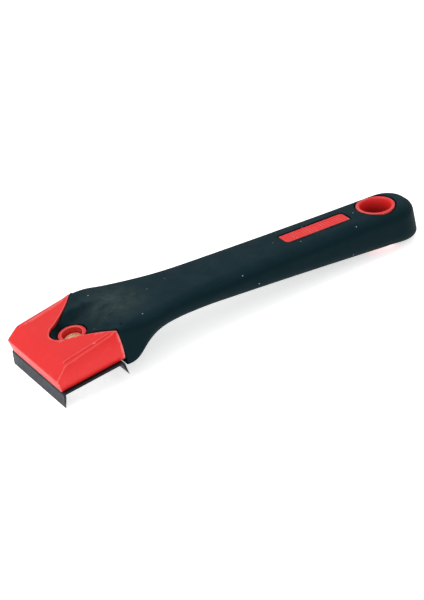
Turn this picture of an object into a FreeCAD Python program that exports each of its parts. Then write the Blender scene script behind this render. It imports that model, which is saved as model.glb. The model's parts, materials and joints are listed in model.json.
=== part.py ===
import FreeCAD, Part
import math
import os

from FreeCAD import Vector

# A pull scraper with a two-edged hook blade. All sizes are in millimetres.
#
# Everything is drawn in the head's own frame: +X runs from the nose towards the
# handle's end, Y = 0 is the plane of symmetry, and Z = 0 is the flat seat that the
# blade is clamped to. X = 0 is halfway between the blade's two edges. At the end the
# tool is tipped until it lies on a bench, on its front edge and its handle's end.

# Blade
blade_width = 63.5
blade_length = 40.2
blade_thickness = 1.4
blade_depth = 9.4
flange_flare = 1.1
bend_radius = 1.9
inner_bend_radius = 0.5
edge_land = 0.12
bevel_length = 6.2

# Head, in side view from its lip over the nose to its top
lip_height = 8.3
nose_reach = 1.3
ridge_setback = 7.3
ridge_height = 15.5
crown_height = 18.8
heel_gap = 2.2
head_side_inset = 2.25
head_belly = 1.0
head_top_draft = 1.5
head_edge_round = 1.0

# Well in the head for the clamp screw, with a raised ring around it
screw_x = 6.5
well_gap = 0.3
well_floor = 4.2
ring_wall = 2.1
ring_height = 12.3
ring_lip_round = 0.7

# Soft tongue around the ring, which lines a bowl in the head's top
tongue_side_wall = 1.1
tongue_front_wall = 4.6
tongue_flank_angle = 33.0
tongue_flank_bulge = 1.4
bowl_floor = 11.6
bowl_lining = 1.8
bowl_slope = 1.0
bowl_gap = 0.3
bowl_lid = 4.0
scoop_run = 22.0

# Clamp screw and what it passes through
thread_radius = 3.0
screw_slack = 0.05
hole_slack = 0.35
screw_head_radius = 5.7
screw_head_height = 3.1
screw_dome = 1.1
shoulder_share = 0.72
shoulder_drop = 0.35
screw_end_margin = 1.2
screw_tip_chamfer = 0.74
recess_width = 1.3
recess_depth = 1.5
cross_length = 6.4
lock_washer_inset = 0.5
lock_washer_height = 1.4
lock_washer_slit = 0.9
lock_washer_slack = 0.175
slit_slant = 30.0
flat_washer_overhang = 0.2
flat_washer_height = 1.0

# Clamp plate and the nut that it keeps from turning
clamp_thickness = 1.8
clamp_side_margin = 6.75
clamp_end_gap = 1.6
clamp_corner_radius = 3.0
nut_wall = 2.0
nut_height = 3.2
nut_gap = 0.15
ear_thickness = 1.2
ear_length = 7.0
ear_height = 2.6
ear_root = 0.5

# Handle: its outside, from the heel to its end, at stations behind the heel's front.
# Each station is distance, flare, top, bottom, upper and lower corner radius. A flare
# of 0 is as wide as the grip's front, and 1 as wide as the head's seat.
neck_flares = [
    (0.0, 1.022, crown_height, -5.6, 1.6, 1.5),
    (7.6, 1.056, 19.4, -5.9, 4.5, 3.5),
    (15.6, 0.944, 17.8, -2.6, 6.0, 6.0),
    (25.6, 0.667, 15.9, -0.2, 6.3, 7.8),
    (37.6, 0.3, 14.0, -0.5, 6.0, 7.0),
    (53.6, 0.0, 11.7, -3.6, 6.2, 7.6),
]
handle_length = 219.6
grip_half_width = 20.5
butt_half_width = 16.5
grip_steps = 8
butt_steps = 10
top_fall_angle = 7.8
bottom_fall_angle = 11.8
grip_top_radius = 7.0
grip_bottom_radius = 9.0
side_lean = 1.7
lean_length = 40.0
side_belly = 0.5
top_crown = 0.9
least_crown = 0.1
bottom_crown = 0.3
butt_plan_radius = 15.0
butt_edge_radius = 6.0
soft_wall = 3.0
core_seat_gap = 1.5
heel_reach = 20.0
least_corner = 1.0
corner_share = 0.9

# Red name pad let into the handle's top, and the eyelet that the tool hangs from
pad_to_eyelet = 21.6
pad_length = 45.9
pad_width = 9.5
pad_round = 2.6
pad_depth = 6.0
eyelet_setback = 22.5
eyelet_throat_radius = 8.0
eyelet_spread = 2.2
eyelet_tube_wall = 2.6
eyelet_rim_wall = 4.1
eyelet_rim_height = 3.0
eyelet_funnel = 5.0

# How near two numbers are to be called the same place
touch = 0.01

# Places and widths that follow from the sizes above
half_blade = blade_length / 2
heel_x = half_blade + heel_gap
nose_x = -half_blade - nose_reach
ridge_x = -half_blade + ridge_setback
butt_x = heel_x + handle_length
head_half_base = blade_width / 2 - head_side_inset
head_half_belly = head_half_base + head_belly
head_half_top = head_half_base - head_top_draft
flat_washer_radius = screw_head_radius + flat_washer_overhang
lock_washer_radius = screw_head_radius - lock_washer_inset
well_radius = flat_washer_radius + well_gap
ring_radius = well_radius + ring_wall
tongue_nose_radius = ring_radius + tongue_side_wall
tongue_nose_reach = ring_radius + tongue_front_wall
bowl_floor_radius = ring_radius + bowl_gap
bowl_depth = crown_height + bowl_lid - bowl_floor
nut_size = 2 * (thread_radius + nut_wall)
clamp_width = blade_width - 2 * clamp_side_margin
flat_washer_top = well_floor + flat_washer_height
screw_seat = flat_washer_top + lock_washer_height
clamp_bottom = -blade_thickness - clamp_thickness
hole_radius = thread_radius + hole_slack
eyelet_x = butt_x - eyelet_setback
pad_x = eyelet_x - pad_to_eyelet - pad_length
eyelet_mouth_radius = eyelet_throat_radius + eyelet_spread
eyelet_tube_radius = eyelet_throat_radius + eyelet_tube_wall
eyelet_rim_radius = eyelet_throat_radius + eyelet_rim_wall
far = 2 * handle_length


def side_polygon(points):
    """A solid of the given outline in side view, as wide as anything here."""
    outline = [Vector(x, -far, z) for x, z in points]
    return Part.Face(Part.makePolygon(outline + outline[:1])).extrude(Vector(0, 2 * far, 0))


def upright(radius, bottom, top, x=0.0):
    """A round bar, square to the blade seat."""
    return Part.makeCylinder(radius, top - bottom, Vector(x, 0, bottom))


def rounded_corner(before, corner, after, radius):
    """Start, middle and end of the arc that rounds a corner between two sides."""
    to_before = (before - corner).normalize()
    to_after = (after - corner).normalize()
    half_angle = to_before.getAngle(to_after) / 2
    reach = radius / math.tan(half_angle)
    bisector = (to_before + to_after).normalize()
    middle = corner + bisector * (radius / math.sin(half_angle) - radius)
    return corner + to_before * reach, middle, corner + to_after * reach


def arc(start, middle, end):
    return Part.Arc(start, middle, end).toShape()


def line(start, end):
    return Part.LineSegment(start, end).toShape()


# Blade ----------------------------------------------------------------------------


def flange_points():
    """Outer corner, outer tip, inner tip, bevel start and inner corner of the rear flange."""
    slant = math.hypot(flange_flare, blade_depth)
    down = Vector(flange_flare / slant, 0, -blade_depth / slant)
    inward = Vector(-blade_depth / slant, 0, -flange_flare / slant)
    outer_corner = Vector(half_blade, 0, 0)
    outer_tip = outer_corner + down * slant
    inner_tip = outer_tip + inward * edge_land
    bevel_start = outer_corner + inward * blade_thickness + down * (slant - bevel_length)
    corner_drop = blade_thickness * (slant - flange_flare) / blade_depth
    inner_corner = outer_corner + inward * blade_thickness + down * corner_drop
    return outer_corner, outer_tip, inner_tip, bevel_start, inner_corner


def mirrored(point):
    return Vector(-point.x, point.y, point.z)


def make_blade():
    outer, outer_tip, inner_tip, bevel, inner = flange_points()
    web_top = Vector(0, 0, 0)
    web_bottom = Vector(0, 0, -blade_thickness)
    outer_bend = rounded_corner(web_top, outer, outer_tip, bend_radius)
    inner_bend = rounded_corner(bevel, inner, web_bottom, inner_bend_radius)
    rear = [
        arc(*outer_bend),
        line(outer_bend[2], outer_tip),
        line(outer_tip, inner_tip),
        line(inner_tip, bevel),
        line(bevel, inner_bend[0]),
        arc(*inner_bend),
    ]
    front = [edge.mirror(Vector(0, 0, 0), Vector(1, 0, 0)) for edge in rear]
    web = [
        line(mirrored(outer_bend[0]), outer_bend[0]),
        line(inner_bend[2], mirrored(inner_bend[2])),
    ]
    outline = Part.Wire(Part.__sortEdges__(rear + front + web))
    blade = Part.Face(outline).extrude(Vector(0, blade_width, 0))
    blade.translate(Vector(0, -blade_width / 2, 0))
    # The hole is as long either side of the middle, so the blade fits either way round.
    slot = Part.makeBox(2 * screw_x, 2 * hole_radius, 3 * blade_thickness)
    slot.translate(Vector(-screw_x, -hole_radius, -2 * blade_thickness))
    for x in (-screw_x, screw_x):
        slot = slot.fuse(upright(hole_radius, -2 * blade_thickness, blade_thickness, x))
    return blade.cut(slot).removeSplitter()


# Head -----------------------------------------------------------------------------


def make_head_block():
    """The red head before anything is cut into it."""
    profile = side_polygon([
        (-half_blade, 0),
        (nose_x, lip_height),
        (ridge_x, ridge_height),
        (heel_x, crown_height),
        (heel_x, 0),
    ])
    base = Vector(nose_x, head_half_base, 0)
    belly = Vector(nose_x, head_half_belly, crown_height / 2)
    top = Vector(nose_x, head_half_top, crown_height)
    left_side = arc(base, belly, top)
    right_side = left_side.mirror(Vector(0, 0, 0), Vector(0, 1, 0))
    across = Part.Wire(Part.__sortEdges__([
        left_side,
        right_side,
        line(base, Vector(nose_x, -head_half_base, 0)),
        line(top, Vector(nose_x, -head_half_top, crown_height)),
    ]))
    block = Part.Face(across).extrude(Vector(heel_x - nose_x, 0, 0)).common(profile)
    return block.makeFillet(head_edge_round, head_edges(block))


def head_edges(block):
    """The nose, ridge and top edges: all but those of the seat and of the joint with the grip."""
    chosen = []
    for edge in block.Edges:
        box = edge.BoundBox
        on_seat = box.ZMax < touch
        on_joint = box.XMin > heel_x - touch
        if not on_seat and not on_joint:
            chosen.append(edge)
    return chosen


def tongue_prism():
    """The soft tongue's outline in plan, from its round nose to the head's upper corners."""
    centre_x = screw_x - tongue_nose_reach + tongue_nose_radius
    turn = math.radians(90 + tongue_flank_angle)
    join = Vector(
        centre_x + tongue_nose_radius * math.cos(turn),
        tongue_nose_radius * math.sin(turn),
        0,
    )
    nose = Vector(centre_x - tongue_nose_radius, 0, 0)
    corner = Vector(heel_x, head_half_top, 0)
    flank = corner - join
    outward = Vector(flank.y, -flank.x, 0).normalize()
    middle = (join + corner) * 0.5 + outward * tongue_flank_bulge
    left = arc(join, middle, corner)
    right = left.mirror(Vector(0, 0, 0), Vector(0, 1, 0))
    nose_arc = arc(join, nose, Vector(join.x, -join.y, 0))
    back = line(corner, Vector(corner.x, -corner.y, 0))
    outline = Part.Wire(Part.__sortEdges__([nose_arc, left, right, back]))
    return Part.Face(outline).extrude(Vector(0, 0, 2 * crown_height))


def make_pocket():
    """What the soft tongue's moulding takes out of the head's top."""
    floor = bowl_floor - bowl_lining
    lid = 2 * crown_height
    scoop_start = screw_x + ring_radius
    profile = side_polygon([
        (nose_x, floor),
        (scoop_start, floor),
        (heel_x, crown_height - soft_wall),
        (heel_x, lid),
        (nose_x, lid),
    ])
    return tongue_prism().common(profile)


def bowl_section(x):
    """The bowl's gutter cut straight across: a flat floor between two slopes."""
    lid_half = bowl_floor_radius + bowl_depth / bowl_slope
    lid = bowl_floor + bowl_depth
    return Part.Face(Part.makePolygon([
        Vector(x, -bowl_floor_radius, bowl_floor),
        Vector(x, bowl_floor_radius, bowl_floor),
        Vector(x, lid_half, lid),
        Vector(x, -lid_half, lid),
        Vector(x, -bowl_floor_radius, bowl_floor),
    ]))


def make_climb():
    """The gutter behind the ring, which climbs towards the handle."""
    return bowl_section(screw_x + ring_radius).extrude(Vector(scoop_run, 0, bowl_depth))


def make_bowl():
    """The hollow over the ring: a funnel, and a gutter behind it."""
    foot = Vector(screw_x, 0, bowl_floor)
    lid_radius = bowl_floor_radius + bowl_depth / bowl_slope
    funnel = Part.makeCone(bowl_floor_radius, lid_radius, bowl_depth, foot)
    level = bowl_section(screw_x).extrude(Vector(ring_radius, 0, 0))
    return funnel.fuse([level, make_climb()])


def make_ring():
    """The red ring around the well, with a rounded lip."""
    ring = upright(ring_radius, well_floor, ring_height, screw_x)
    ring = ring.cut(upright(well_radius, well_floor, ring_height, screw_x))
    lip = [edge for edge in ring.Edges if edge.BoundBox.ZMin > ring_height - touch]
    return ring.makeFillet(ring_lip_round, lip)


# Handle ---------------------------------------------------------------------------


def neck_stations():
    """The neck's stations, with each flare turned into a half width."""
    spread = head_half_base - grip_half_width
    return [(station[0], grip_half_width + station[1] * spread) + station[2:]
            for station in neck_flares]


def straight_station(distance):
    """A station of the straight grip, which runs on from the neck's last station."""
    last_distance, last_half, last_top, last_bottom = neck_stations()[-1][:4]
    run = distance - last_distance
    share = run / (handle_length - last_distance)
    return (
        distance,
        butt_half_width + (last_half - butt_half_width) * (1 - share) ** 2,
        last_top - run * math.tan(math.radians(top_fall_angle)),
        last_bottom - run * math.tan(math.radians(bottom_fall_angle)),
        grip_top_radius,
        grip_bottom_radius,
    )


def body_stations():
    """The handle's stations from the heel to where its round end begins."""
    start = neck_flares[-1][0]
    run = handle_length - butt_plan_radius - start
    steps = range(1, grip_steps + 1)
    return neck_stations() + [straight_station(start + run * step / grip_steps) for step in steps]


def end_stations():
    """The handle's stations round its end, where it draws in like a ball."""
    result = []
    for step in range(butt_steps + 1):
        share = math.sin(math.pi / 2 * step / butt_steps)
        to_end = butt_plan_radius * (1 - share)
        sides_in = butt_plan_radius * (1 - math.sqrt(1 - share ** 2))
        bend = max(0.0, 1 - to_end / butt_edge_radius)
        edges_in = butt_edge_radius * (1 - math.sqrt(1 - bend ** 2))
        distance, half, top, bottom, upper, lower = straight_station(handle_length - to_end)
        half -= sides_in
        most = corner_share * half
        result.append((
            distance, half, top - edges_in, bottom + edges_in, min(upper, most), min(lower, most),
        ))
    return result


def other_side(point):
    return Vector(point.x, -point.y, point.z)


def grip_section(station, inset=0.0):
    """The handle's outline across one station, or one that much smaller all round."""
    distance, half_width, top, bottom, top_radius, bottom_radius = station
    lean = side_lean * max(0.0, 1 - distance / lean_length)
    narrowing = min(1.0, half_width / grip_half_width)
    crown = top_crown * narrowing * min(1.0, least_crown + distance / neck_flares[1][0])
    if inset and distance < heel_reach:
        # The core stays above the blade seat, so that only the soft heel stands behind it.
        bottom = max(bottom, core_seat_gap - inset)
    x = heel_x + distance
    shoulder = Vector(x, half_width - inset - lean, top - inset - crown)
    foot = Vector(x, half_width - inset, bottom + inset + bottom_crown * narrowing)
    top_round = max(top_radius - inset, least_corner)
    bottom_round = max(bottom_radius - inset, least_corner)
    upper = rounded_corner(other_side(shoulder), shoulder, foot, top_round)
    lower = rounded_corner(shoulder, foot, other_side(foot), bottom_round)
    side_middle = (upper[2] + lower[0]) * 0.5 + Vector(0, side_belly, 0)
    top_middle = Vector(x, 0, top - inset)
    bottom_middle = Vector(x, 0, bottom + inset)
    return Part.Wire([
        arc(other_side(upper[0]), top_middle, upper[0]),
        arc(*upper),
        arc(upper[2], side_middle, lower[0]),
        arc(*lower),
        arc(lower[2], bottom_middle, other_side(lower[2])),
        arc(*[other_side(point) for point in lower[::-1]]),
        arc(other_side(lower[0]), other_side(side_middle), other_side(upper[2])),
        arc(*[other_side(point) for point in upper[::-1]]),
    ])


def make_outside():
    """The whole outside of the handle, from the heel's front face to its round end."""
    body = Part.makeLoft([grip_section(station) for station in body_stations()], True, False)
    end = Part.makeLoft([grip_section(station) for station in end_stations()], True, True)
    return body.fuse(end).removeSplitter()


def make_spine():
    """The red core inside the grip, which the soft wall covers all round."""
    sections = [grip_section(station, soft_wall) for station in body_stations()]
    return Part.makeLoft(sections, True, False)


def handle_top(x):
    """Height of the straight grip's top line at a place along it."""
    last = neck_flares[-1]
    return last[2] - (x - heel_x - last[0]) * math.tan(math.radians(top_fall_angle))


def on_handle_top(shape, x):
    """A shape drawn at the origin, moved to the handle's top line and leant square to it."""
    moved = shape.copy()
    moved.rotate(Vector(0, 0, 0), Vector(0, 1, 0), top_fall_angle)
    moved.translate(Vector(x, 0, handle_top(x)))
    return moved


def make_pad():
    """The name pad: a flush bar with two opposite corners rounded."""
    bar = Part.makeBox(pad_length, pad_width, 2 * pad_depth, Vector(0, -pad_width / 2, -pad_depth))
    rounded = []
    for edge in bar.Edges:
        middle = edge.CenterOfMass
        near_start = middle.x < touch and middle.y < 0
        far_end = middle.x > pad_length - touch and middle.y > 0
        if edge.BoundBox.ZLength > pad_depth and (near_start or far_end):
            rounded.append(edge)
    return on_handle_top(bar.makeFillet(pad_round, rounded), pad_x)


def eyelet_thickness():
    """The handle's depth at the eyelet, along the eyelet's own axis."""
    last = neck_flares[-1]
    run = eyelet_x - heel_x - last[0]
    bottom = last[3] - run * math.tan(math.radians(bottom_fall_angle))
    return (handle_top(eyelet_x) - bottom) * math.cos(math.radians(top_fall_angle))


def make_eyelet():
    """The red tube through the handle's end, with a wider rim at each mouth."""
    deep = eyelet_thickness()
    rim = eyelet_rim_radius
    past = eyelet_rim_height
    tube = Part.makeCylinder(eyelet_tube_radius, deep, Vector(0, 0, -deep))
    top_rim = Part.makeCylinder(rim, 2 * past, Vector(0, 0, -past))
    low_rim = Part.makeCylinder(rim, 2 * past, Vector(0, 0, -deep - past))
    return on_handle_top(tube.fuse([top_rim, low_rim]), eyelet_x)


def make_hang_bore():
    """The hole through the eyelet: a straight throat between two funnels."""
    deep = eyelet_thickness()
    mouth = eyelet_mouth_radius
    throat = eyelet_throat_radius
    run = 2 * eyelet_funnel
    spread = 2 * (mouth - throat)
    bore = Part.makeCylinder(throat, deep, Vector(0, 0, -deep))
    upper = Part.makeCone(throat, throat + spread, run, Vector(0, 0, -eyelet_funnel))
    lower = Part.makeCone(throat + spread, throat, run, Vector(0, 0, -deep - run + eyelet_funnel))
    return on_handle_top(bore.fuse([upper, lower]), eyelet_x)


def make_handle_parts():
    """The red core and the soft grip moulded over it."""
    outside = make_outside()
    head = make_head_block()
    bed = make_climb().translated(Vector(0, 0, -bowl_lining))
    pocket = make_pocket().fuse(bed)
    bore = make_hang_bore()
    well = upright(well_radius, well_floor, 2 * crown_height, screw_x)
    shank_hole = upright(hole_radius, -well_floor, 2 * well_floor, screw_x)
    spine = make_spine().cut(bed)
    core = head.cut(pocket).fuse([make_ring(), spine, make_pad().common(outside)])
    core = core.fuse(make_eyelet().common(outside))
    core = core.cut([well, shank_hole, bore]).removeSplitter()
    tongue = head.common(pocket).cut([make_bowl(), upright(ring_radius, 0, far, screw_x)])
    grip = outside.cut(make_bowl()).fuse(tongue).cut([core, bore]).removeSplitter()
    return only_solid(core), only_solid(grip)


def only_solid(shape):
    """The one solid in a shape, or the largest if a cut left crumbs."""
    return max(shape.Solids, key=lambda solid: solid.Volume)


# Clamp ----------------------------------------------------------------------------


def make_clamp_plate():
    half_length = flange_points()[4].x - clamp_end_gap
    plate = Part.makeBox(
        2 * half_length, clamp_width, clamp_thickness,
        Vector(-half_length, -clamp_width / 2, clamp_bottom),
    )
    corners = [edge for edge in plate.Edges if edge.BoundBox.ZLength > clamp_thickness / 2]
    plate = plate.makeFillet(clamp_corner_radius, corners)
    inner = nut_size / 2 + nut_gap
    for y in (inner, -inner - ear_thickness):
        corner = Vector(screw_x - ear_length / 2, y, clamp_bottom - ear_height)
        plate = plate.fuse(Part.makeBox(ear_length, ear_thickness, ear_height + ear_root, corner))
    return plate.cut(upright(hole_radius, -far, 0, screw_x)).removeSplitter()


def make_square_nut():
    corner = Vector(screw_x - nut_size / 2, -nut_size / 2, clamp_bottom - nut_height)
    nut = Part.makeBox(nut_size, nut_size, nut_height, corner)
    return nut.cut(upright(thread_radius, -far, 0, screw_x))


def make_clamp_screw():
    shank_radius = thread_radius - screw_slack
    tip = -blade_depth + screw_end_margin
    shank = upright(shank_radius, tip, screw_seat, 0)
    end = [edge for edge in shank.Edges if edge.BoundBox.ZMax < tip + touch]
    shank = shank.makeChamfer(screw_tip_chamfer, end)
    rim_top = screw_seat + screw_head_height - screw_dome
    crown = screw_seat + screw_head_height
    flank = Vector(screw_head_radius, 0, rim_top)
    shoulder = Vector(screw_head_radius * shoulder_share, 0, crown - shoulder_drop)
    outline = Part.Wire([
        line(Vector(0, 0, screw_seat), Vector(screw_head_radius, 0, screw_seat)),
        line(Vector(screw_head_radius, 0, screw_seat), flank),
        arc(flank, shoulder, Vector(0, 0, crown)),
        line(Vector(0, 0, crown), Vector(0, 0, screw_seat)),
    ])
    head = Part.Face(outline).revolve(Vector(0, 0, 0), Vector(0, 0, 1), 360)
    screw = shank.fuse(head)
    for length, turn in ((3 * screw_head_radius, 0), (cross_length, 90)):
        groove = Part.makeBox(length, recess_width, 2 * recess_depth)
        groove.translate(Vector(-length / 2, -recess_width / 2, crown - recess_depth))
        groove.rotate(Vector(0, 0, 0), Vector(0, 0, 1), turn)
        screw = screw.cut(groove)
    screw.translate(Vector(screw_x, 0, 0))
    return only_solid(screw.removeSplitter())


def make_flat_washer():
    ring = upright(flat_washer_radius, well_floor, flat_washer_top, screw_x)
    return ring.cut(upright(hole_radius, -far, far, screw_x))


def make_lock_washer():
    ring = upright(lock_washer_radius, flat_washer_top, screw_seat, screw_x)
    ring = ring.cut(upright(thread_radius + lock_washer_slack, -far, far, screw_x))
    slit = Part.makeBox(far, lock_washer_slit, far, Vector(0, -lock_washer_slit / 2, -far / 2))
    slit.rotate(Vector(0, 0, 0), Vector(1, 0, 0), slit_slant)
    slit.translate(Vector(screw_x, 0, (flat_washer_top + screw_seat) / 2))
    return ring.cut(slit)


# Laying the tool on the bench -----------------------------------------------------


def low_point(shape):
    return shape.optimalBoundingBox(False, False).ZMin


def turned(shape, angle):
    result = shape.copy()
    result.rotate(Vector(0, 0, 0), Vector(0, 1, 0), -angle)
    return result


def bench_angle(blade, grip):
    """How far the handle's end is raised for it and the front edge to touch the bench."""
    span = butt_x - butt_edge_radius + half_blade
    angle = 0.0
    for _ in range(6):
        step = low_point(turned(blade, angle)) - low_point(turned(grip, angle))
        angle += math.degrees(math.atan2(step, span))
    return angle


def main():
    core, grip = make_handle_parts()
    nodes = {
        "handle_core": core,
        "soft_grip": grip,
        "blade": make_blade(),
        "clamp_plate": make_clamp_plate(),
        "square_nut": make_square_nut(),
        "clamp_screw": make_clamp_screw(),
        "lock_washer": make_lock_washer(),
        "flat_washer": make_flat_washer(),
    }
    angle = bench_angle(nodes["blade"], grip)
    nodes = {name: turned(shape, angle) for name, shape in nodes.items()}
    box = FreeCAD.BoundBox()
    for shape in nodes.values():
        box.add(shape.optimalBoundingBox(False, False))
    offset = Vector(-box.Center.x, -box.Center.y, -box.ZMin)
    os.makedirs("parts", exist_ok=True)
    for name, shape in nodes.items():
        shape.translate(offset)
        shape.exportStep("parts/" + name + ".step")
        print(name, shape.isValid(), len(shape.Solids), round(shape.Volume, 1))
    print("bench angle", round(angle, 4), "offset", [round(v, 4) for v in offset])
    print("box", [round(v, 2) for v in (box.XLength, box.YLength, box.ZLength)])


main()
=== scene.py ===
import json
import math

import bpy
import numpy as np
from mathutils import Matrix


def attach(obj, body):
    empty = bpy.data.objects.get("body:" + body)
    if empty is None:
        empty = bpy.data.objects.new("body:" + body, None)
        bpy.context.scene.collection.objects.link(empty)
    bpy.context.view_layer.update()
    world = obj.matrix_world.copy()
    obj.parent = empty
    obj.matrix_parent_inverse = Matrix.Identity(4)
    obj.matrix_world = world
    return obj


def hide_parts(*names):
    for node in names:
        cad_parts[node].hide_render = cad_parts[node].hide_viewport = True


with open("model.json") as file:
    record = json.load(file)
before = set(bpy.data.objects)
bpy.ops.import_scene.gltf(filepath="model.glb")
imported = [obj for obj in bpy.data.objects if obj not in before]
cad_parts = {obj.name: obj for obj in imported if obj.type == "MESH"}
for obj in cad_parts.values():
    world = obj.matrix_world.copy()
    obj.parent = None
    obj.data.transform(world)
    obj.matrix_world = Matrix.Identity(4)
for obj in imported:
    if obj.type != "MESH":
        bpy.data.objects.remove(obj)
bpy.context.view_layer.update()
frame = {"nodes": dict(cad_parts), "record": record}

import openvdb
from mathutils import Matrix, Vector

# A pull scraper on a white table. Shapes are drawn in the head's own frame, in
# millimetres, as the design is: +X from the nose to the handle's end, Y = 0 the plane
# of symmetry, Z = 0 the blade seat. Each moulded piece is a field of signed distances,
# negative inside, which is then turned into a mesh.

record = frame["record"]
MM = 0.001

# Sizes of the design, in millimetres
SCREW_X = 6.5
SCREW_SEAT = 6.6
HALF_BLADE = 20.1
HEEL_X = 22.3
NOSE_X = -21.4
LIP_Z = 8.3
RIDGE_X = -12.8
RIDGE_Z = 15.5
CROWN_Z = 18.8
HALF_BASE = 29.5
HALF_BELLY = 30.5
HALF_TOP = 28.0
HEAD_ROUND = 0.6
BASE_ROUND = 0.25
LEDGE_WIDTH = 1.1
LEDGE_DROP = 0.7
LEDGE_FADE = 6.0
RISER_WIDTH = 0.6

WELL_RADIUS = 6.2
WELL_FLOOR = 4.2
RING_RADIUS = 8.3
RING_Z = 12.3
RING_LIP = 0.8
HOLE_RADIUS = 3.35

TONGUE_RADIUS = 9.4
TONGUE_REACH = 12.9
TONGUE_FLANK = 33.0
TONGUE_BULGE = 1.4
TONGUE_FILLET = 0.6
POCKET_ROUND = 0.55

# The bowl around the ring: where its lofted front gives way to a gutter that climbs
BOWL_FLOOR = 11.6
BOWL_LINING = 1.8
BOWL_SLOPE = 1.0
BOWL_RIM = 0.4
BOWL_BEND = 1.0
BOWL_ROUND = 0.9
RING_FOOT = 0.3
BLEND_START = 3.0
BLEND_RUN = 11.0
GUTTER_RUN = 22.0
GUTTER_RISE = 4.0
GUTTER_BEND = 2.0

# A height above a steep slope counts as this much distance from it
HEIGHT_SHARE = 0.7

# The handle at distances behind the heel: half width, top, bottom and corner radii
NECK = [
    (0.0, 29.7, 18.8, -5.6, 1.6, 1.5),
    (7.6, 30.0, 19.4, -5.9, 4.5, 3.5),
    (15.6, 29.0, 17.8, -2.6, 6.0, 6.0),
    (25.6, 26.5, 15.9, -0.2, 6.3, 7.8),
    (37.6, 23.2, 14.0, -0.5, 6.0, 7.0),
    (53.6, 20.5, 11.7, -3.6, 6.2, 7.6),
]

# Behind the neck, rows at even steps, and the handle's end, a hair inside the design's
ROW_STEP = 14.0
ROW_COUNT = 11
HANDLE_LENGTH = 219.55
BUTT_HALF = 16.5
TOP_TILT = math.radians(7.8)
BOTTOM_TILT = math.radians(11.8)
TOP_FALL = math.tan(TOP_TILT)
BOTTOM_FALL = math.tan(BOTTOM_TILT)
GRIP_ROUNDS = (7.0, 9.0)
BUTT_ROUND = 15.0
BUTT_EDGE = 6.0
SIDE_LEAN = 1.7
LEAN_LENGTH = 40.0
SIDE_BELLY = 0.5
TOP_CROWN = 0.9
BOTTOM_CROWN = 0.3
CROWN_AT_HEEL = 0.1
HEEL_GAP = 0.1
HEEL_ROUND = 1.0
TONGUE_JOIN = 2.5

PAD_X = 151.9
PAD_LENGTH = 45.9
PAD_HALF = 4.75
PAD_ROUND = 2.6
PAD_CORNER = 0.3
PAD_DEPTH = 2.5
PAD_SUNK = 0.2
RIB_PITCH = 1.9
RIB_HEIGHT = 0.35
RIB_END_MARGIN = 5.0
RIB_SIDE_MARGIN = 1.5

EYELET_X = 219.4
EYELET_RIM = 12.1
EYELET_MOUTH = 10.2
EYELET_THROAT = 8.0
EYELET_FUNNEL = 5.0
EYELET_DEPTH = 25.4
EYELET_BLEND = 2.0
EYELET_SUNK = 0.15
EYELET_LIP = 0.9

# The line between the soft grip and the red pieces let into it
JOINT_GAP = 0.55
JOINT_ROUND = 0.7

SCREW_HEAD_RADIUS = 5.7
SCREW_HEAD_HEIGHT = 3.1
SCREW_HEAD_DOME = 1.1
SLOT_HALF = 0.65
SLOT_DEPTH = 1.5
SLOT_REACH = 8.0
CROSS_REACH = 3.2
THREAD_RADIUS = 2.95
THREAD_DEPTH = 0.55
THREAD_PITCH = 1.0
SCREW_TIP = -8.2

# The box that each field is sampled in, a little larger than its piece, and its grid's
# cell. From the bend on, the grip's grid follows the falling handle. A field is kept to
# a band of a few cells on both sides of the surface.
HEAD_BOX = ((-22.4, -31.4, -0.9), (23.3, 31.4, 19.7))
HEAD_CELL = 0.3
PAD_BOX = ((150, -5.6, -18), (199, 5.6, 2.5))
PAD_CELL = 0.22
EYELET_BOX = ((204, -13, -41), (233.5, 13, -3))
EYELET_CELL = 0.3
GRIP_BOX = ((-8, -31, -8.4), (243, 31, 21))
GRIP_CELL = 0.42
GRIP_BEND = 75.0
SCREW_BOX = ((0.3, -6.2, -8.7), (12.7, 6.2, 10.2))
SCREW_CELL = 0.12
BAND_CELLS = 3

# Light: how much the table glows, the strength of the sky, and each lamp's place in
# metres, size and power
FLOOR_GLOW = 0.6
FLOOR_SIZE = 6.0
SKY = 0.76
LAMPS = {
    "key": ((-0.5, 0.35, 1.5), 1.1, 12),
    "front_fill": ((-0.9, -1.1, 0.9), 1.2, 0.8),
}

# Where the camera stands in the head's frame, its aim and its upward direction
CAMERA_PLACE = (-323.1, -904.8, 623.5)
CAMERA_AIM = (0.35483, 0.76446, -0.53823)
CAMERA_UP = (0.44100, 0.37077, 0.81734)
CAMERA_LENS = 120

# Colours: linear red, green and blue, and full cover
RED_DEEP = (0.67, 0.014, 0.015, 1)
RED_BRIGHT = (0.72, 0.020, 0.019, 1)
RED_CREASE_SHADE = (0.16, 0.003, 0.004, 1)
RED_EDGE_HIGHLIGHT = (0.82, 0.27, 0.25, 1)
RED_SCUFFED = (0.80, 0.24, 0.22, 1)
RED_SHADED = (0.10, 0.003, 0.004, 1)
RUBBER_DEEP = (0.0016, 0.0112, 0.0148, 1)
RUBBER_BRIGHT = (0.0028, 0.0142, 0.0182, 1)
RUBBER_DUST_AND_TOP_SHEEN = (0.022, 0.052, 0.068, 1)
RUBBER_DUSTY = (0.044, 0.062, 0.058, 1)
RUBBER_EDGE_SHADE = (0.0006, 0.0012, 0.0016, 1)
SPECK_FAINT = (0.11, 0.15, 0.16, 1)
SPECK_PALE = (0.42, 0.48, 0.48, 1)
SPECK_DARK = (0.0004, 0.0008, 0.0010, 1)
STEEL_DARK = (0.006, 0.009, 0.012, 1)
STEEL_BLUED = (0.040, 0.053, 0.066, 1)
STEEL_GROUND = (0.070, 0.088, 0.105, 1)
STEEL_STAINED = (0.004, 0.005, 0.007, 1)
STEEL_PAINTED_SHADE = (0.010, 0.012, 0.016, 1)
BRASS = (1.0, 0.80, 0.54, 1)
ZINC = (0.62, 0.62, 0.60, 1)
GRIME_AND_HOLLOW_SHADE = (0.012, 0.009, 0.006, 1)
TARNISH = 0.72
TABLE_GREY = (0.93, 0.93, 0.93, 1)
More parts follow.
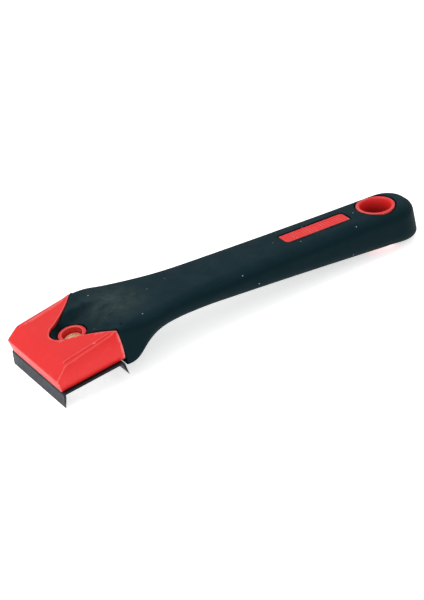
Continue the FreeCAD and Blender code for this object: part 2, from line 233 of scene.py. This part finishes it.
TABLE_WHITE = (0.95, 0.95, 0.95, 1)
GLOW_WHITE = (1, 1, 1, 1)

# The dusty patch on the neck: its middle in the head's frame, and its reach in metres.
# The shaded patch in the eyelet has its middle at the hang hole's mount.
DUST_HEART = (35.2, 0, 18.7)
DUST_REACH = (0.026, 0.024, 0.016)
SHADE_REACH = (0.024, 0.024, 0.0118)

# Heights above the table, in metres, over which the blade is painted dark as the shade under the
# head
BLADE_SHADE_FROM = 0.0078
BLADE_SHADE_FULL = 0.0092


# From the head's frame to the row frame ---------------------------------------------

screw_joint = next(j for j in record["behaviour"]["joints"] if j["name"] == "screw_turn")
head_up = Vector(screw_joint["axis"])
head_along = Vector((head_up.z, 0, -head_up.x))
screw_seat_point = Vector(screw_joint["pos_m"])
hang_hole = next(m for m in record["mounts"] if m["name"] == "hang_hole")


def to_row(points):
    """Points of the head's frame, in millimetres, as points of the row frame in metres."""
    turn = np.array([head_along, (0, 1, 0), head_up])
    local = (np.asarray(points, float) - (SCREW_X, 0, SCREW_SEAT)) * MM
    return local @ turn + np.array(screw_seat_point)


# Distance fields --------------------------------------------------------------------


def both(a, b, rounding=0.0):
    """Where two solids meet, with the edge between them rounded."""
    if np.isscalar(rounding) and rounding == 0:
        return np.maximum(a, b)
    over_a = np.maximum(a + rounding, 0)
    over_b = np.maximum(b + rounding, 0)
    return np.minimum(np.maximum(a, b), -rounding) + np.sqrt(over_a ** 2 + over_b ** 2)


def either(a, b, fillet=0.0):
    """Two solids together, with the corner between them filled."""
    return -both(-a, -b, fillet)


def without(a, b, rounding=0.0):
    """The first solid less the second, with the cut's edge rounded."""
    return both(a, -b, rounding)


def side_plane(x, z, start, end):
    """Distance outside the line from start to end in side view, whose left is outside."""
    run_x = end[0] - start[0]
    run_z = end[1] - start[1]
    length = math.hypot(run_x, run_z)
    return ((z - start[1]) * run_x - (x - start[0]) * run_z) / length


def smooth_step(value):
    """0 below 0, 1 above 1, and a smooth climb between."""
    share = np.clip(value, 0, 1)
    return share * share * (3 - 2 * share)


def bent(value, softness):
    """The value where it is positive and 0 where it is not, with a soft bend between."""
    return (np.sqrt(value ** 2 + softness ** 2) + value) / 2


def natural_spline(knots, values, x):
    """The natural cubic spline through the knots, at x, and level beyond them."""
    knots = np.array(knots, float)
    values = np.array(values, float)
    gaps = np.diff(knots)
    slopes = np.diff(values) / gaps
    count = len(knots)
    system = np.eye(count)
    right = np.zeros(count)
    for i in range(1, count - 1):
        system[i, i - 1:i + 2] = gaps[i - 1], 2 * (gaps[i - 1] + gaps[i]), gaps[i]
        right[i] = 6 * (slopes[i] - slopes[i - 1])
    bends = np.linalg.solve(system, right)
    x = np.clip(x, knots[0], knots[-1])
    i = np.clip(np.searchsorted(knots, x) - 1, 0, count - 2)
    gap = gaps[i]
    near = (knots[i + 1] - x) / gap
    far = 1 - near
    bend = ((near ** 3 - near) * bends[i] + (far ** 3 - far) * bends[i + 1]) * gap ** 2 / 6
    return near * values[i] + far * values[i + 1] + bend


# The shapes, as fields ----------------------------------------------------------------


def head_width(z):
    """Half the head's width at each height: widest at its belly."""
    middle = CROWN_Z / 2
    fall = (HALF_TOP + HALF_BASE - 2 * HALF_BELLY) / (2 * middle ** 2)
    climb = (HALF_BELLY - HALF_BASE) / middle - fall * middle
    return HALF_BASE + climb * z + fall * z ** 2


def head_block(x, y, z, ledge=True):
    """The head's block, with a shallow step along both edges of its top."""
    top = side_plane(x, z, (RIDGE_X, RIDGE_Z), (HEEL_X, CROWN_Z))
    if ledge:
        edge = HALF_TOP - LEDGE_WIDTH - RISER_WIDTH
        drop = LEDGE_DROP * smooth_step((HEEL_X - x) / LEDGE_FADE)
        top = top + drop * smooth_step((np.abs(y) - edge) / RISER_WIDTH)
    brow = side_plane(x, z, (NOSE_X, LIP_Z), (RIDGE_X, RIDGE_Z))
    lip = side_plane(x, z, (-HALF_BLADE, 0), (NOSE_X, LIP_Z))
    side = np.abs(y) - head_width(z)
    block = both(both(top, brow, HEAD_ROUND), lip, HEAD_ROUND)
    block = both(block, side, HEAD_ROUND)
    return both(both(block, -z, BASE_ROUND), x - HEEL_X, BASE_ROUND)


def tongue_plan(x, y):
    """The soft tongue's outline in plan: a round nose and two long flanks."""
    centre = SCREW_X - TONGUE_REACH + TONGUE_RADIUS
    turn = math.radians(90 + TONGUE_FLANK)
    join = np.array([centre + TONGUE_RADIUS * math.cos(turn), TONGUE_RADIUS * math.sin(turn)])
    corner = np.array([HEEL_X, HALF_TOP])
    chord = corner - join
    half = np.linalg.norm(chord) / 2
    outward = np.array([-chord[1], chord[0]]) / (2 * half)
    sweep = (half ** 2 + TONGUE_BULGE ** 2) / (2 * TONGUE_BULGE)
    pivot = (join + corner) / 2 + outward * (sweep - TONGUE_BULGE)
    nose = np.hypot(x - centre, y) - TONGUE_RADIUS
    flank = sweep - np.hypot(x - pivot[0], np.abs(y) - pivot[1])
    return either(nose, np.maximum(flank, join[0] - x), TONGUE_FILLET)


def bowl(x, y, z):
    """The hollow around the ring: from the tongue's outline down, and a gutter behind."""
    climb = (CROWN_Z + GUTTER_RISE - BOWL_FLOOR) / GUTTER_RUN
    floor = BOWL_FLOOR + climb * bent(x - SCREW_X - RING_RADIUS, GUTTER_BEND)
    foot = RING_RADIUS + RING_FOOT
    past_ring = np.hypot(np.minimum(x - SCREW_X, 0), y) - foot
    gutter = floor + bent(past_ring, BOWL_BEND) / BOWL_SLOPE
    rim = RIDGE_Z + (x - RIDGE_X) * (CROWN_Z - RIDGE_Z) / (HEEL_X - RIDGE_X) + BOWL_RIM
    inside = np.maximum(-tongue_plan(x, y), 0)
    from_ring = np.maximum(np.hypot(x - SCREW_X, y) - foot, 0.001)
    lofted = BOWL_FLOOR + (rim - BOWL_FLOOR) * from_ring / (from_ring + inside)
    height = lofted + (gutter - lofted) * smooth_step((x - BLEND_START) / BLEND_RUN)
    return (height - z) * HEIGHT_SHARE


def ring(x, y, z):
    """The red ring around the screw's well, with a rounded lip."""
    reach = np.hypot(x - SCREW_X, y)
    wall = both(reach - RING_RADIUS, z - RING_Z, RING_LIP)
    return both(wall, WELL_FLOOR - z)


def well(x, y, z):
    """The well that the screw's head sits in, and the hole through its floor."""
    reach = np.hypot(x - SCREW_X, y)
    return either(both(reach - WELL_RADIUS, WELL_FLOOR - z), reach - HOLE_RADIUS)


def handle_profile(x):
    """Half width, top, bottom and corner radii of the handle at each x."""
    rows = list(NECK)
    start, neck_half, neck_top, neck_bottom = NECK[-1][:4]
    steps = [start + ROW_STEP * i for i in range(1, ROW_COUNT + 1)]
    for distance in steps + [HANDLE_LENGTH]:
        run = distance - start
        share = run / (HANDLE_LENGTH - start)
        half = BUTT_HALF + (neck_half - BUTT_HALF) * (1 - share) ** 2
        top = neck_top - run * TOP_FALL
        bottom = neck_bottom - run * BOTTOM_FALL
        rows.append((distance, half, top, bottom) + GRIP_ROUNDS)
    knots = [row[0] for row in rows]
    distance = x - HEEL_X
    return [natural_spline(knots, [row[i] for row in rows], distance) for i in range(1, 6)]


def handle_outside(x, y, z):
    """The whole outside of the grip, round at its end."""
    half, top, bottom, top_round, bottom_round = handle_profile(x)
    butt_x = HEEL_X + HANDLE_LENGTH
    distance = x - HEEL_X
    share = np.clip((z - bottom) / (top - bottom), 0, 1)
    lean = SIDE_LEAN * np.maximum(0, 1 - distance / LEAN_LENGTH) * share
    belly = SIDE_BELLY * 4 * share * (1 - share)
    past_x = x - (butt_x - BUTT_ROUND)
    past_y = np.abs(y) - (half - lean + belly - BUTT_ROUND)
    corner = np.hypot(np.maximum(past_x, 0), np.maximum(past_y, 0))
    plan = np.minimum(np.maximum(past_x, past_y), 0) + corner - BUTT_ROUND
    endness = np.clip(past_x / BUTT_ROUND, 0, 1) ** 2
    narrowing = np.minimum(1, half / NECK[-1][1])
    crown = TOP_CROWN * narrowing * np.clip(CROWN_AT_HEEL + distance / NECK[1][0], 0, 1)
    low_crown = BOTTOM_CROWN * narrowing
    over = (z - top + crown * (y / half) ** 2) * math.cos(TOP_TILT)
    under = (bottom + low_crown * (y / half) ** 2 - z) * math.cos(BOTTOM_TILT)
    top_round = top_round + (BUTT_EDGE - top_round) * endness
    bottom_round = bottom_round + (BUTT_EDGE - bottom_round) * endness
    solid = both(both(plan, over, top_round), under, bottom_round)
    return both(solid, HEEL_X + HEEL_GAP - x, HEEL_ROUND)


def handle_top(x):
    """The height of the grip's straight top line."""
    start, _, top = NECK[-1][:3]
    return top - (x - HEEL_X - start) * TOP_FALL


def on_handle(x, z, place):
    """Coordinates along the handle's top and square out of it, from a place on it."""
    behind = x - place
    above = z - handle_top(place)
    along = behind * math.cos(TOP_TILT) - above * math.sin(TOP_TILT)
    out = behind * math.sin(TOP_TILT) + above * math.cos(TOP_TILT)
    return along, out


def pad_plan(x, y, z):
    """The pad's outline, a bar with two round corners, and the places along and out of it."""
    along, out = on_handle(x, z, PAD_X)
    half = PAD_LENGTH / 2
    from_middle = along - half
    past_along = np.abs(from_middle) - half
    past_side = np.abs(y) - PAD_HALF
    rounding = np.where(from_middle * y > 0, PAD_ROUND, PAD_CORNER)
    return both(past_along, past_side, rounding), along, out


def eyelet_parts(x, y, z):
    """Distance outside the eyelet's rim, and outside the hole through it."""
    along, out = on_handle(x, z, EYELET_X)
    reach = np.hypot(along, y)
    taper = (EYELET_MOUTH - EYELET_THROAT) / EYELET_FUNNEL
    tilt = 1 / math.hypot(1, taper)
    throat = reach - EYELET_THROAT
    upper = (reach - EYELET_MOUTH - out * taper) * tilt
    lower = (reach - EYELET_MOUTH + (out + EYELET_DEPTH) * taper) * tilt
    hole = either(either(throat, upper, EYELET_BLEND), lower, EYELET_BLEND)
    return reach - EYELET_RIM, hole


# From fields to pieces ----------------------------------------------------------------


def drop_of(x, bend):
    """How far the grid follows the falling handle, so that it holds little empty air."""
    return np.maximum(x - bend, 0) * (TOP_FALL + BOTTOM_FALL) / 2


def mesh_of_field(name, field, box, cell, bend=math.inf, adaptivity=0.0):
    """The mesh of a field's zero surface in a box, as an object in the row frame."""
    low, high = box
    counts = [int(math.ceil((b - a) / cell)) + 1 for a, b in zip(low, high)]
    axes = [np.float32(a + cell * np.arange(n)) for a, n in zip(low, counts)]
    x = axes[0][:, None, None]
    y = axes[1][None, :, None]
    z = axes[2][None, None, :] - np.float32(drop_of(x, bend))
    band = np.float32(BAND_CELLS * cell)
    values = np.clip(field(x, y, z), -band, band).astype(np.float32)
    values = np.array(np.broadcast_to(values, counts), np.float32)
    grid = openvdb.FloatGrid(float(band))
    grid.copyFromArray(values)
    grid.gridClass = openvdb.GridClass.LEVEL_SET
    points, triangles, quads = grid.convertToPolygons(0.0, adaptivity)
    points = points.astype(float) * cell + np.array(low, float)
    points[:, 2] -= drop_of(points[:, 0], bend)
    mesh = bpy.data.meshes.new(name)
    faces = [tuple(q) for q in quads.tolist()] + [tuple(t) for t in triangles.tolist()]
    mesh.from_pydata(to_row(points).tolist(), [], faces)
    mesh.validate()
    if signed_volume(mesh) < 0:
        mesh.flip_normals()
    mesh.shade_smooth()
    piece = bpy.data.objects.new(name, mesh)
    bpy.context.scene.collection.objects.link(piece)
    return piece


def signed_volume(mesh):
    """Six times the signed volume inside a closed mesh."""
    origin = np.array(mesh.vertices[0].co)
    mesh.calc_loop_triangles()
    count = len(mesh.loop_triangles)
    corners = np.zeros(count * 3, np.int32)
    mesh.loop_triangles.foreach_get("vertices", corners)
    places = np.zeros(len(mesh.vertices) * 3, np.float32)
    mesh.vertices.foreach_get("co", places)
    a, b, c = (places.reshape(-1, 3)[corners.reshape(-1, 3)[:, i]] - origin for i in range(3))
    return float((np.cross(a, b) * c).sum())


# Materials ----------------------------------------------------------------------------


class Nodes:
    """A material's node tree, with short ways to add what the materials here share."""

    def __init__(self, name):
        self.material = bpy.data.materials.new(name)
        self.material.use_nodes = True
        self.tree = self.material.node_tree
        self.shader = self.tree.nodes["Principled BSDF"]
        self.place = self.add("ShaderNodeTexCoord").outputs["Object"]
        self.last_bump = None

    def add(self, kind, inputs=None, **settings):
        node = self.tree.nodes.new(kind)
        for key, value in settings.items():
            setattr(node, key, value)
        for key, value in (inputs or {}).items():
            if isinstance(value, bpy.types.NodeSocket):
                self.tree.links.new(value, node.inputs[key])
            else:
                node.inputs[key].default_value = value
        return node

    def stretched(self, scale):
        """Object coordinates scaled on their own along each axis, for drawn-out noise."""
        return self.add("ShaderNodeMapping", {"Vector": self.place, "Scale": scale}).outputs[0]

    def noise(self, scale, detail=4.0, rough=0.55, vector=None):
        inputs = {"Vector": vector or self.place, "Scale": scale}
        inputs.update({"Detail": detail, "Roughness": rough})
        return self.add("ShaderNodeTexNoise", inputs).outputs["Fac"]

    def specks(self, scale, radius):
        """1 in small round spots scattered at random, and 0 between them."""
        inputs = {"Vector": self.place, "Rotation": (0.6, 0.4, 0.9)}
        turned = self.add("ShaderNodeMapping", inputs).outputs[0]
        inputs = {"Vector": turned, "Scale": scale, "Randomness": 1.0}
        spots = self.add("ShaderNodeTexVoronoi", inputs)
        return self.between(spots.outputs["Distance"], radius, radius * 0.5)

    def between(self, value, start, end, low=0.0, high=1.0):
        """From low to high as the value goes from start to end, and level outside."""
        inputs = {"Value": value, "From Min": start, "From Max": end}
        inputs.update({"To Min": low, "To Max": high})
        return self.add("ShaderNodeMapRange", inputs, clamp=True).outputs[0]

    def around(self, centre, reaches):
        """1 near a place, falling softly to 0 at the given reach along each axis."""
        scale = tuple(1 / reach for reach in reaches)
        shift = tuple(-c / reach for c, reach in zip(centre, reaches))
        inputs = {"Vector": self.place, "Scale": scale, "Location": shift}
        moved = self.add("ShaderNodeMapping", inputs).outputs[0]
        length = self.add("ShaderNodeVectorMath", {0: moved}, operation="LENGTH").outputs["Value"]
        return self.between(length, 1.0, 0.35)

    def math(self, operation, a, b):
        return self.add("ShaderNodeMath", {0: a, 1: b}, operation=operation).outputs[0]

    def mix(self, factor, a, b):
        node = self.add("ShaderNodeMix", data_type="RGBA")
        for socket, value in (("Factor_Float", factor), ("A_Color", a), ("B_Color", b)):
            target = next(s for s in node.inputs if s.identifier == socket)
            if isinstance(value, bpy.types.NodeSocket):
                self.tree.links.new(value, target)
            else:
                target.default_value = value
        return next(s for s in node.outputs if s.identifier == "Result_Color")

    def laid_over(self, colour, mask, strength, tone):
        """A colour with a tone over it where the mask is 1, as strong as it says."""
        return self.mix(self.math("MULTIPLY", mask, strength), colour, tone)

    def raised(self, start, end):
        """From 0 to 1 between two degrees of sharpness: 0.5 is flat, and more is an edge."""
        pointed = self.add("ShaderNodeNewGeometry").outputs["Pointiness"]
        return self.between(pointed, start, end)

    def bump(self, height, distance, strength):
        inputs = {"Height": height, "Distance": distance, "Strength": strength}
        if self.last_bump is not None:
            inputs["Normal"] = self.last_bump
        self.last_bump = self.add("ShaderNodeBump", inputs).outputs[0]

    def finish(self, colour, roughness, **constants):
        links = self.tree.links
        links.new(colour, self.shader.inputs["Base Color"])
        links.new(roughness, self.shader.inputs["Roughness"])
        if self.last_bump is not None:
            links.new(self.last_bump, self.shader.inputs["Normal"])
        for key, value in constants.items():
            self.shader.inputs[key.replace("_", " ")].default_value = value
        return self.material


def red_plastic():
    """Glossy moulded plastic: faint flow marks and fine scuffs, with painted highlights along its
    edges, painted shade in its creases and painted shade inside the eyelet.
    """
    nodes = Nodes("red_moulding")
    colour = nodes.mix(nodes.noise(38.0, 3.0), RED_DEEP, RED_BRIGHT)
    # Painted shade: darker red in creases and grooves, standing in for the shade in the joints
    # around the rubber
    colour = nodes.laid_over(colour, nodes.raised(0.485, 0.43), 0.7, RED_CREASE_SHADE)
    # Painted highlight: a lighter red along every sharp convex edge
    colour = nodes.laid_over(colour, nodes.raised(0.51, 0.555), 0.7, RED_EDGE_HIGHLIGHT)
    scuff = nodes.between(nodes.noise(260.0, 6.0, 0.7), 0.56, 0.8)
    colour = nodes.laid_over(colour, scuff, 0.08, RED_SCUFFED)
    shade = nodes.around(hang_hole["pos_m"], SHADE_REACH)
    colour = nodes.laid_over(colour, shade, 0.85, RED_SHADED)
    rough = nodes.between(nodes.noise(90.0, 5.0), 0.3, 0.7, 0.32, 0.46)
    nodes.bump(nodes.noise(900.0, 3.0), 0.00003, 0.35)
    gloss = {"Specular_IOR_Level": 0.22, "Coat_Weight": 0.03, "Coat_Roughness": 0.3}
    return nodes.finish(colour, rough, **gloss)


def soft_rubber():
    """Dark soft rubber: fine grain, a dusty neck, dust and a painted sheen on its upward faces,
    pale specks, a few dark spots and painted shade along its edges.
    """
    nodes = Nodes("dark_rubber")
    colour = nodes.mix(nodes.noise(45.0, 5.0), RUBBER_DEEP, RUBBER_BRIGHT)
    facing = nodes.add("ShaderNodeNewGeometry").outputs["Normal"]
    upward = nodes.add("ShaderNodeSeparateXYZ", {0: facing}).outputs["Z"]
    patchy = nodes.between(nodes.noise(70.0, 8.0, 0.65), 0.42, 0.75, 0.5, 1.0)
    # Dust and painted sheen: upward faces made lighter, partly settled dust and partly painted
    # light from above
    dust_and_top_sheen = nodes.math("MULTIPLY", nodes.between(upward, 0.45, 0.98), patchy)
    colour = nodes.laid_over(colour, dust_and_top_sheen, 0.34, RUBBER_DUST_AND_TOP_SHEEN)
    dust = nodes.between(nodes.noise(160.0, 9.0, 0.7), 0.30, 0.70)
    dust = nodes.math("MULTIPLY", nodes.around(to_row(DUST_HEART).tolist(), DUST_REACH), dust)
    colour = nodes.laid_over(colour, dust, 0.75, RUBBER_DUSTY)
    colour = nodes.laid_over(colour, nodes.specks(260.0, 0.055), 0.22, SPECK_FAINT)
    colour = nodes.laid_over(colour, nodes.specks(120.0, 0.055), 0.85, SPECK_PALE)
    colour = nodes.laid_over(colour, nodes.specks(31.0, 0.022), 1.0, SPECK_DARK)
    # Painted shade: the rubber darkened almost to black along its sharp edges, as the shade in the
    # grooves around the red pieces
    colour = nodes.laid_over(colour, nodes.raised(0.51, 0.545), 0.95, RUBBER_EDGE_SHADE)
    rough = nodes.between(nodes.noise(120.0, 5.0), 0.3, 0.7, 0.50, 0.64)
    nodes.bump(nodes.noise(1500.0, 4.0, 0.6), 0.00005, 0.5)
    return nodes.finish(colour, rough, Specular_IOR_Level=0.04)


def ground_steel():
    """Blued blade steel: mottled and stained, with fine grinding lines, and painted shade on its
    web where it lies under the head.
    """
    nodes = Nodes("blade_steel")
    lines = nodes.noise(1.0, 4.0, 0.7, nodes.stretched((120.0, 2600.0, 120.0)))
    mottle = nodes.between(nodes.noise(150.0, 7.0, 0.65), 0.30, 0.70)
    colour = nodes.mix(mottle, STEEL_DARK, STEEL_BLUED)
    colour = nodes.laid_over(colour, nodes.between(lines, 0.40, 0.80), 0.6, STEEL_GROUND)
    stain = nodes.between(nodes.noise(420.0, 6.0, 0.7), 0.54, 0.64)
    colour = nodes.laid_over(colour, stain, 0.75, STEEL_STAINED)
    height = nodes.add("ShaderNodeSeparateXYZ", {0: nodes.place}).outputs["Z"]
    # Painted shade: the blade darkened above a height, where it lies in the head's shadow
    shaded_under_head = nodes.between(height, BLADE_SHADE_FROM, BLADE_SHADE_FULL)
    colour = nodes.laid_over(colour, shaded_under_head, 0.9, STEEL_PAINTED_SHADE)
    rough = nodes.between(lines, 0.3, 0.7, 0.42, 0.58)
    nodes.bump(lines, 0.00004, 0.5)
    return nodes.finish(colour, rough, Metallic=0.35, Specular_IOR_Level=0.12)


def plated(name, tone, metallic):
    """Plated metal, turned or pressed, with fine scratches, a little tarnish, and grime and
    painted shade in its hollows.
    """
    nodes = Nodes(name)
    tarnished = tuple(TARNISH * c for c in tone[:3]) + (1,)
    patches = nodes.between(nodes.noise(180.0, 5.0), 0.35, 0.7)
    colour = nodes.mix(patches, tone, tarnished)
    # Grime and painted shade: darker in the hollows, such as the screw's slots
    colour = nodes.laid_over(colour, nodes.raised(0.46, 0.38), 0.9, GRIME_AND_HOLLOW_SHADE)
    scratch = nodes.noise(1.0, 3.0, 0.6, nodes.stretched((3000.0, 300.0, 900.0)))
    rough = nodes.between(scratch, 0.3, 0.7, 0.20, 0.36)
    nodes.bump(scratch, 0.00002, 0.4)
    return nodes.finish(colour, rough, Metallic=metallic)


def paper_white():
    """The table's matt white, which glows a little so that shadows on it stay faint."""
    nodes = Nodes("white_table")
    cloud = nodes.noise(3.0, 2.0)
    colour = nodes.mix(cloud, TABLE_GREY, TABLE_WHITE)
    rough = nodes.between(cloud, 0.3, 0.7, 0.8, 0.9)
    return nodes.finish(colour, rough, Emission_Strength=FLOOR_GLOW, Emission_Color=GLOW_WHITE)


red = red_plastic()
rubber = soft_rubber()
steel = ground_steel()
brass = plated("brass_plate", BRASS, 0.7)
zinc = plated("zinc_plate", ZINC, 1.0)


def dress(piece, material):
    """A piece in one material."""
    piece.data.materials.clear()
    piece.data.materials.append(material)
    return piece


# The red moulding -----------------------------------------------------------------------


def head_field(x, y, z):
    """The head, with a pocket for the soft tongue and the ring standing in it."""
    pocket = both(tongue_plan(x, y), BOWL_FLOOR - BOWL_LINING - z)
    shell = without(head_block(x, y, z), pocket, POCKET_ROUND)
    return without(either(shell, ring(x, y, z)), well(x, y, z), 0.35)


def pad_field(x, y, z):
    """The pad, with plain ribs across its middle."""
    plan, along, out = pad_plan(x, y, z)
    half = PAD_LENGTH / 2
    grooves = smooth_step(0.5 + 0.8 * np.cos(2 * math.pi * along / RIB_PITCH))
    ribbed = smooth_step((half - RIB_END_MARGIN - np.abs(along - half)) / 0.8)
    ribbed = ribbed * smooth_step((PAD_HALF - RIB_SIDE_MARGIN - np.abs(y)) / 0.5)
    top = handle_outside(x, y, z) + PAD_SUNK + RIB_HEIGHT * ribbed * grooves
    return both(both(plan, top, 0.4), -out - PAD_DEPTH, 0.2)


def eyelet_field(x, y, z):
    """The eyelet's tube through the handle, with a rounded lip."""
    rim, hole = eyelet_parts(x, y, z)
    body = both(rim, handle_outside(x, y, z) + EYELET_SUNK, 0.6)
    return without(body, hole, EYELET_LIP)


def make_red_moulding():
    pieces = [
        mesh_of_field("red_head", head_field, HEAD_BOX, HEAD_CELL, adaptivity=0.002),
        mesh_of_field("name_pad", pad_field, PAD_BOX, PAD_CELL),
        mesh_of_field("hang_eyelet", eyelet_field, EYELET_BOX, EYELET_CELL, adaptivity=0.01),
    ]
    for piece in pieces:
        dress(piece, red)
        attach(piece, "handle")
        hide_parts("handle_core")


# The soft grip ------------------------------------------------------------------------


def grip_field(x, y, z):
    """The grip with its tongue and bowl, cut away around each red piece let into it."""
    outside = handle_outside(x, y, z)
    tongue = both(tongue_plan(x, y) + JOINT_GAP, head_block(x, y, z, ledge=False), JOINT_ROUND)
    tongue = both(tongue, BOWL_FLOOR - BOWL_LINING - z)
    body = either(outside, tongue, TONGUE_JOIN)
    body = without(body, bowl(x, y, z), BOWL_ROUND)
    body = without(body, np.hypot(x - SCREW_X, y) - RING_RADIUS - JOINT_GAP, 0.4)
    plan, _, out = pad_plan(x, y, z)
    body = without(body, both(plan, -out - PAD_DEPTH) - JOINT_GAP, JOINT_ROUND)
    rim, _ = eyelet_parts(x, y, z)
    return without(body, rim - JOINT_GAP, JOINT_ROUND)


def make_soft_grip():
    grip = mesh_of_field("soft_grip_skin", grip_field, GRIP_BOX, GRIP_CELL, GRIP_BEND, 0.003)
    dress(grip, rubber)
    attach(grip, "handle")
    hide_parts("soft_grip")


# The clamp screw ----------------------------------------------------------------------


def screw_head(reach, along, across, z):
    """A domed head with a long slot and a short one across it."""
    crown = SCREW_SEAT + SCREW_HEAD_HEIGHT
    ball = (SCREW_HEAD_RADIUS ** 2 + SCREW_HEAD_DOME ** 2) / (2 * SCREW_HEAD_DOME)
    dome = np.sqrt(reach ** 2 + (z - crown + ball) ** 2) - ball
    head = both(both(dome, reach - SCREW_HEAD_RADIUS, 0.7), SCREW_SEAT - z, 0.15)
    for a, b, length in ((along, across, SLOT_REACH), (across, along, CROSS_REACH)):
        slot = both(np.abs(b) - SLOT_HALF, crown - SLOT_DEPTH - z)
        head = without(head, both(slot, np.abs(a) - length), 0.15)
    return head


def screw_shank(reach, turn, z):
    """A threaded shank, whose thread fades out at the tip and under the head."""
    tooth = np.abs(((z / THREAD_PITCH - turn) % 1) * 2 - 1)
    runout = smooth_step((SCREW_SEAT - 1 - z) / 0.8) * smooth_step((z - SCREW_TIP) / 0.6)
    shank = (reach - THREAD_RADIUS + THREAD_DEPTH * runout * tooth) * 0.8
    return both(both(shank, SCREW_TIP - z, 0.5), z - SCREW_SEAT - 1)


def screw_field(x, y, z):
    """The whole screw, standing in the head's well."""
    along = x - SCREW_X
    reach = np.hypot(along, y)
    turn = np.arctan2(y, along) / (2 * math.pi)
    return either(screw_head(reach, along, y, z), screw_shank(reach, turn, z))


def make_clamp_screw():
    screw = mesh_of_field("clamp_screw_body", screw_field, SCREW_BOX, SCREW_CELL, adaptivity=0.005)
    dress(screw, brass)
    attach(screw, "screw")
    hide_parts("clamp_screw")


# Design pieces that keep their shape ------------------------------------------------------


def dress_cad(node, material, edge):
    """A design piece in its material, with its sharp edges eased by a small bevel."""
    piece = dress(frame["nodes"][node], material)
    bevel = piece.modifiers.new("eased_edges", "BEVEL")
    bevel.width = edge * MM
    bevel.segments = 2
    bevel.limit_method = "ANGLE"
    bevel.angle_limit = math.radians(40)
    bevel.use_clamp_overlap = True


make_red_moulding()
make_soft_grip()
make_clamp_screw()
dress_cad("blade", steel, 0.05)
for node, edge in (("clamp_plate", 0.25), ("square_nut", 0.2)):
    dress_cad(node, zinc, edge)
for node in ("flat_washer", "lock_washer"):
    dress_cad(node, zinc, 0.12)


# Table, lights and camera ---------------------------------------------------------------


def make_floor():
    half = FLOOR_SIZE / 2
    mesh = bpy.data.meshes.new("table")
    corners = [(-half, -half, 0), (half, -half, 0), (half, half, 0), (-half, half, 0)]
    mesh.from_pydata(corners, [], [(0, 1, 2, 3)])
    floor = bpy.data.objects.new("table", mesh)
    bpy.context.scene.collection.objects.link(floor)
    floor.data.materials.append(paper_white())


def make_light(name, place, size, power):
    """A round soft lamp that shines on the middle of the table."""
    data = bpy.data.lights.new(name, "AREA")
    data.shape = "DISK"
    data.size = size
    data.energy = power
    light = bpy.data.objects.new(name, data)
    light.location = place
    light.rotation_mode = "QUATERNION"
    light.rotation_quaternion = (-Vector(place)).to_track_quat("-Z", "Y")
    bpy.context.scene.collection.objects.link(light)


def make_camera():
    """The camera, told in the head's frame by where it is, its aim and which way is up."""
    back = -Vector(CAMERA_AIM).normalized()
    right = Vector(CAMERA_UP).cross(back).normalized()
    up = back.cross(right)
    turn = Matrix([head_along, (0, 1, 0), head_up]).transposed()
    turned = turn @ Matrix([right, up, back]).transposed()
    data = bpy.data.cameras.new("camera")
    data.lens = CAMERA_LENS
    data.sensor_width = 36
    data.clip_start = 0.05
    camera = bpy.data.objects.new("camera", data)
    camera.matrix_world = Matrix.Translation(to_row(CAMERA_PLACE)) @ turned.to_4x4()
    bpy.context.scene.collection.objects.link(camera)
    bpy.context.scene.camera = camera


def make_world():
    world = bpy.data.worlds.new("studio")
    world.use_nodes = True
    background = world.node_tree.nodes["Background"]
    background.inputs["Color"].default_value = (1.0, 1.0, 1.0, 1)
    background.inputs["Strength"].default_value = SKY
    bpy.context.scene.world = world


make_floor()
make_world()
for lamp, (place, size, power) in LAMPS.items():
    make_light(lamp, place, size, power)
make_camera()
bpy.context.scene.view_settings.view_transform = "Standard"
